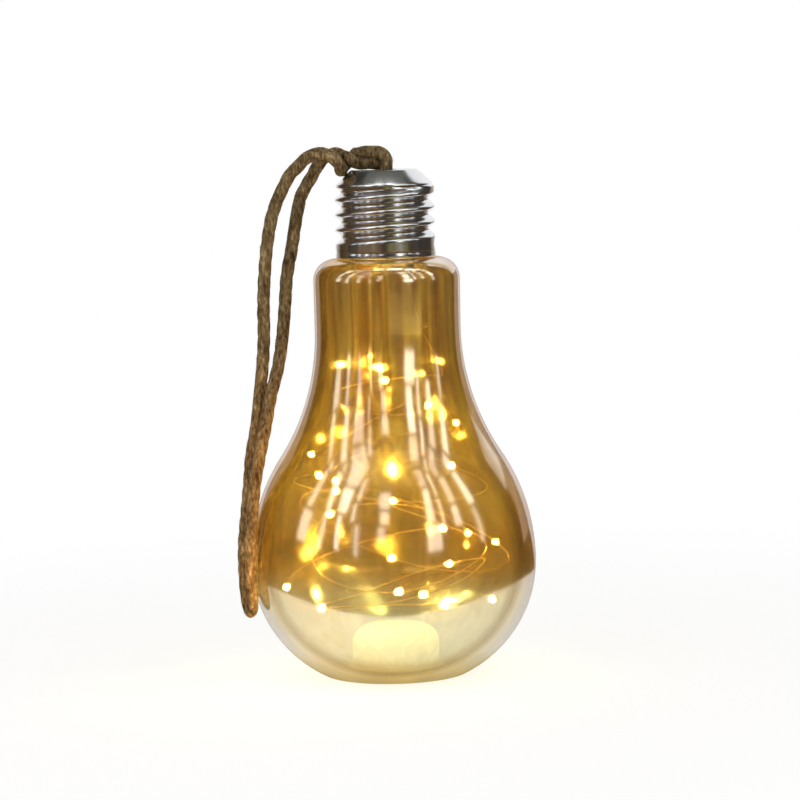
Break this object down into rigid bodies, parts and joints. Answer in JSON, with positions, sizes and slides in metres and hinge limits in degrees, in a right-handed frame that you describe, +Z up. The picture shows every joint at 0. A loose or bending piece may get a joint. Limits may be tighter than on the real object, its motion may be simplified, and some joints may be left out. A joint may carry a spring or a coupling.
{
  "type": "hanging bulb light",
  "caption": "Bulb-shaped amber lustre glass light with a chrome screw cap, a knotted jute rope loop to hang it by, and an LED wire string inside.",
  "frame": {"origin": "centre of the flat base ring that the bulb stands on", "axes": "+Z up along the bulb's axis to the cap, -Y towards the viewer of the picture, +X to the viewer's right; the rope hangs on the -X side"},
  "size_m": [0.1284, 0.123, 0.2283],
  "materials": {
    "amber_glass": "amber lustre glass, glossy",
    "chrome": "polished chrome plating",
    "jute": "twisted natural jute",
    "copper": "enamelled copper wire",
    "led_epoxy": "clear epoxy drop over a warm white LED",
    "white_plastic": "moulded white plastic",
    "black_plastic": "moulded black plastic",
    "steel": "plain steel",
    "contact_brass": "spring brass",
    "board_green": "circuit board",
    "silicone": "silicone rubber",
    "foam": "closed-cell foam",
    "resistor_tan": "lacquered resistor body"
  },
  "bodies": {
    "glass": {"glass_bulb": "amber_glass", "rim_gasket": "silicone", "cartridge_cup": "white_plastic", "cartridge_lid": "white_plastic", "lid_screw_rear": "steel", "lid_screw_front": "steel", "coin_cell_lower": "steel", "coin_cell_upper": "steel", "negative_contact": "contact_brass", "positive_contact": "contact_brass", "circuit_board": "board_green", "timer_chip": "black_plastic", "resistor": "resistor_tan", "switch_body": "steel", "inner_lead": "copper", "strain_relief": "black_plastic", "led_wire": "copper", "led_01": "led_epoxy", "led_02": "led_epoxy", "led_03": "led_epoxy", "led_04": "led_epoxy", "led_05": "led_epoxy", "led_06": "led_epoxy", "led_07": "led_epoxy", "led_08": "led_epoxy", "led_09": "led_epoxy", "led_10": "led_epoxy", "led_11": "led_epoxy", "led_12": "led_epoxy", "led_13": "led_epoxy", "led_14": "led_epoxy", "led_15": "led_epoxy", "led_16": "led_epoxy", "led_17": "led_epoxy", "led_18": "led_epoxy", "led_19": "led_epoxy", "led_20": "led_epoxy"},
    "liner": {"sealing_liner": "foam"},
    "cap": {"cap_shell": "chrome", "thread_sleeve": "white_plastic", "rope_washer": "steel", "stopper_knot": "jute", "rope_knot": "jute"},
    "rope": {"rope_loop": "jute"},
    "slider": {"switch_slider": "black_plastic"}
  },
  "joints": [
    {"name": "cap_rise", "type": "slide", "parent": "glass", "child": "liner", "axis": [0, 0, 1], "range_m": [0, 0.00526]},
    {"name": "cap_turn", "type": "hinge", "parent": "liner", "child": "cap", "pos_m": [0, 0, 0.19], "axis": [0, 0, 1], "range_deg": [0, 450]},
    {"name": "rope_swing", "type": "hinge", "parent": "cap", "child": "rope", "pos_m": [-0.0336, 0, 0.2182], "axis": [0, 1, 0], "range_deg": [0, 165], "deforming": ["rope_loop"]},
    {"name": "switch_slide", "type": "slide", "parent": "glass", "child": "slider", "axis": [1, 0, 0], "range_m": [0, 0.0034]}
  ],
  "couplings": [
    {"joint": "cap_rise", "follows": "cap_turn", "m_per_rad": 0.00066845}
  ]
}
